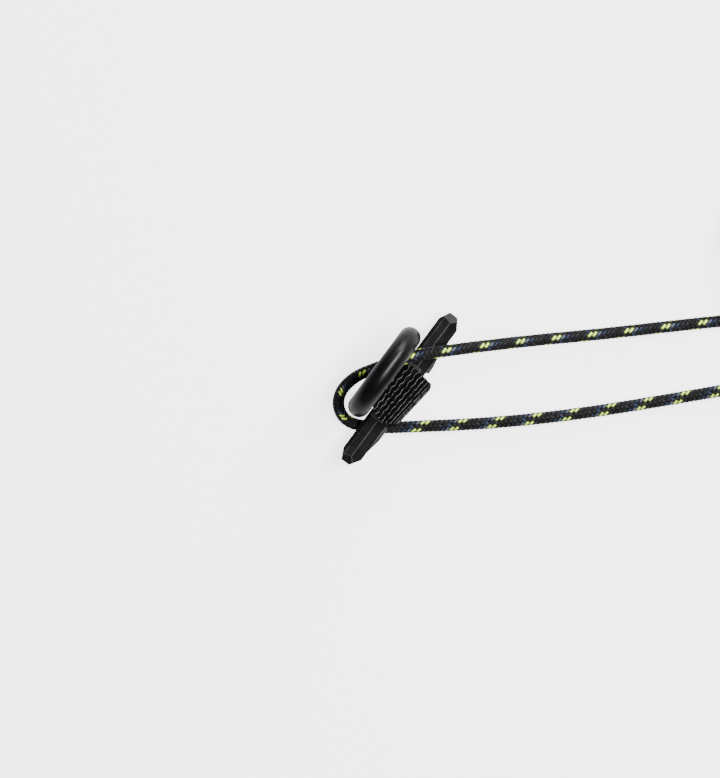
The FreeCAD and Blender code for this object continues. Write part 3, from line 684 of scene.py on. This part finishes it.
# nearness to a crest is 1 - |sin(pi * rib)|, which is one where the rib number is whole
def padMaterial(name, s):
    material, tree, shader, place = newMaterial(name)
    lay = node(tree, "SeparateXYZ", {"Vector": node(tree, "UVMap", uv_map="lay").outputs["UV"]})
    wave = calc(tree, "SINE", calc(tree, "MULTIPLY", lay.outputs["Y"], np.pi))
    crest = calc(tree, "SUBTRACT", 1.0, calc(tree, "ABSOLUTE", wave))
    cuts = calc(tree, "SINE", calc(tree, "MULTIPLY", lay.outputs["X"], s["cutsPerMm"] * 2 * np.pi))
    beads = noiseAt(tree, place, s["beadScale"], 2.0)
    grain = noiseAt(tree, place, s["grainScale"], 3.0)
    # the pale line is a painted highlight along each crest
    line = calc(tree, "MULTIPLY", between(tree, crest, s["crestHighlightSpan"]),
                between(tree, beads, s["beadSpan"], s["beadShade"]))
    line = calc(tree, "MULTIPLY", line, between(tree, cuts, s["cutSpan"], s["cutShade"]))
    # painted shade: darkest in the valleys, turning to the flank colour towards the crests
    body = blendColours(tree, between(tree, crest, s["grooveShadeSpan"]), s["valley"], s["flank"])
    tree.links.new(blendColours(tree, line, body, s["crest"]), shader.inputs["Base Color"])
    tree.links.new(between(tree, beads, noiseSpan, s["roughness"][::-1]), shader.inputs["Roughness"])
    shader.inputs["Specular IOR Level"].default_value = s["specular"]
    height = calc(tree, "ADD", calc(tree, "MULTIPLY", cuts, crest),
                  calc(tree, "MULTIPLY", grain, s["grainShare"]))
    bump = node(tree, "Bump", {"Strength": s["bumpStrength"], "Distance": s["cutDepth"] * mm,
                               "Height": height})
    tree.links.new(bump.outputs["Normal"], shader.inputs["Normal"])
    return material


# moulded black pieces: linear colours, lengths in mm, and what each piece changes of the bar's own
barSet = {
    "dark": (0.0016, 0.0016, 0.0018), "light": (0.0045, 0.0045, 0.0047),
    # the paler edge colour is partly wear and partly a painted highlight
    "edge": (0.16, 0.16, 0.158), "wearAndHighlightShare": 0.9, "wearSpan": (0.35, 0.65), "wearReach": (0.35, 1.0),
    "dust": (0.16, 0.15, 0.14), "openDust": 0.05, "deepDust": 0.25,
    "speckSpan": (0.62, 0.75), "hollowSpan": (1.0, 0.3), "dustReach": 1.2,
    "roughness": (0.34, 0.46), "specular": 0.14,
    "cloudScale": 260.0, "grainScale": 3000.0, "speckScale": 3400.0,
    "grainDepth": 0.03, "grainStrength": 0.6,
    "edgeRadius": 0.2, "edgeAgree": 0.94,  # and where the normals part enough to be an edge
    "rubStretch": (220.0, 3200.0, 3200.0), "rubTurn": 0.0,
    "rubSpan": (0.35, 0.65), "rubGloss": 0.06, "rubDepth": 0.6,
}
hoopSet = {**barSet, **{
    "dark": (0.0012, 0.0012, 0.0014), "light": (0.0035, 0.0035, 0.0037),
    "wearAndHighlightShare": 0.0, "openDust": 0.02, "deepDust": 0.12,
    "roughness": (0.24, 0.34), "grainStrength": 0.2, "grainDepth": 0.010,
    "rubStretch": (90.0, 1500.0, 1500.0), "rubGloss": 0.09, "rubDepth": 0.9,
}}
gripSet = {**barSet, **{
    "dark": (0.0008, 0.0008, 0.0009), "light": (0.002, 0.002, 0.0022),
    # the grip's paler edge colour is dimmer, partly wear and partly a painted highlight
    "edge": (0.03, 0.03, 0.03), "wearAndHighlightShare": 0.5, "edgeRadius": 0.07, "edgeAgree": 0.9,
    "roughness": (0.45, 0.6), "specular": 0.05, "openDust": 0.0, "deepDust": 0.05, "dustReach": 0.5,
    "rubTurn": 6.5,
}}
jawSet = {**barSet, **{
    "dark": (0.016, 0.016, 0.017), "light": (0.030, 0.030, 0.031),
    "roughness": (0.45, 0.60), "grainStrength": 0.7, "cloudScale": 600.0,
}}
meltedSet = {**barSet, **{"roughness": (0.18, 0.3), "cloudScale": 900.0, "grainStrength": 0.3}}
steelSet = {
    "bright": (0.56, 0.55, 0.53), "tarnish": (0.40, 0.39, 0.37),
    "cloudScale": 500.0, "tarnishSpan": (0.35, 0.7),
    "lineStretch": (900.0, 7000.0, 900.0), "lineStrength": 0.4, "lineDepth": 0.004,
    "roughness": (0.22, 0.38), "edgeRadius": 0.06,
}
blackSteelSet = {**steelSet, **{
    "bright": (0.055, 0.055, 0.058), "tarnish": (0.095, 0.080, 0.068),
    "lineStretch": (5000.0, 5000.0, 5000.0), "roughness": (0.35, 0.5),
}}
springSet = {**steelSet, **{"bright": (0.62, 0.61, 0.57), "lineStretch": (2500.0, 2500.0, 2500.0)}}

finishes = {
    "bar_plastic": mouldedPlastic("satinBarPlastic", barSet),
    "hoop_plastic": mouldedPlastic("smoothHoopPlastic", hoopSet),
    "grip_plastic": mouldedPlastic("ribbedGripPlastic", gripSet),
    "jaw_plastic": mouldedPlastic("toothedJawPlastic", jawSet),
    "black_steel": workedMetal("blackenedSteel", blackSteelSet),
    "steel": workedMetal("groundSteel", steelSet),
    "spring_steel": workedMetal("drawnSpringWire", springSet),
    "cord_braid": braidMaterial("braidedYarns", braidSet, cordSet),
}
meltedEnd = mouldedPlastic("meltedYarnEnd", meltedSet)


def giveFinish(piece, material):
    piece.data.materials.clear()
    piece.data.materials.append(material)


slotOf = {part["node"]: part["material_slot"] for part in frame["record"]["subparts"]}
for name, piece in parts.items():
    giveFinish(piece, finishes[slotOf[name]])
for piece in (upperCord, tailCord, *upperEnd[:2], *tailEnd[:2]):
    giveFinish(piece, finishes["cord_braid"])
for piece in (upperEnd[2], tailEnd[2]):
    giveFinish(piece, meltedEnd)
giveFinish(thumbPad, padMaterial("ribbedPadRubber", padFinish))
print("finishes given")

# floor and lights
studioSet = {
    "floorSize": 3.0,
    "floorColour": (0.50, 0.50, 0.50, 1),
    "floorRoughness": 0.9,
    "floorGlow": 3.0,  # on camera rays alone: it whitens the table and throws no light on the lock
    "skyStrength": 0.18,
    "lights": {  # place, length and width in metres, the way its length runs, and power in watts
        "keyLight": ((0.42, -0.27, 0.88), (1.35, 0.20), (1.0, 0.0, -0.4), 42.0),
        "sideLight": ((1.10, 0.20, 0.40), (0.7, 0.4), (0.0, 1.0, 0.0), 16.0),
    },
}


# an area light that faces the lock, with its long side as near as may be to a given way
def softLight(name, place, size, longWay, power):
    data = bpy.data.lights.new(name, "AREA")
    data.shape = "RECTANGLE"
    data.size, data.size_y = size
    data.energy = power
    light = bpy.data.objects.new(name, data)
    back = unit(np.array(place))
    side = unit(np.array(longWay) - np.dot(longWay, back) * back)
    turned = np.column_stack([side, np.cross(back, side), back])
    light.rotation_euler = Matrix(turned.tolist()).to_euler()
    light.location = place
    scene.collection.objects.link(light)


# a square of paper under everything, a dim even sky and the lights
def makeStudio(s):
    half = s["floorSize"] / 2
    mesh = bpy.data.meshes.new("floor")
    mesh.from_pydata([(-half, -half, 0), (half, -half, 0), (half, half, 0), (-half, half, 0)], [],
                     [(0, 1, 2, 3)])
    floor = bpy.data.objects.new("floor", mesh)
    scene.collection.objects.link(floor)
    material = bpy.data.materials.new("floorPaper")
    material.use_nodes = True
    tree = material.node_tree
    shader = tree.nodes["Principled BSDF"]
    shader.inputs["Base Color"].default_value = s["floorColour"]
    shader.inputs["Roughness"].default_value = s["floorRoughness"]
    shader.inputs["Emission Color"].default_value = (1, 1, 1, 1)
    seen = node(tree, "LightPath").outputs["Is Camera Ray"]
    tree.links.new(calc(tree, "MULTIPLY", seen, s["floorGlow"]), shader.inputs["Emission Strength"])
    mesh.materials.append(material)
    world = bpy.data.worlds.new("studio")
    world.use_nodes = True
    sky = world.node_tree.nodes["Background"]
    sky.inputs["Strength"].default_value = s["skyStrength"]
    sky.inputs["Color"].default_value = (1, 1, 1, 1)
    scene.world = world
    for name, (place, size, longWay, power) in s["lights"].items():
        softLight(name, place, size, longWay, power)


makeStudio(studioSet)
print("studio lit")
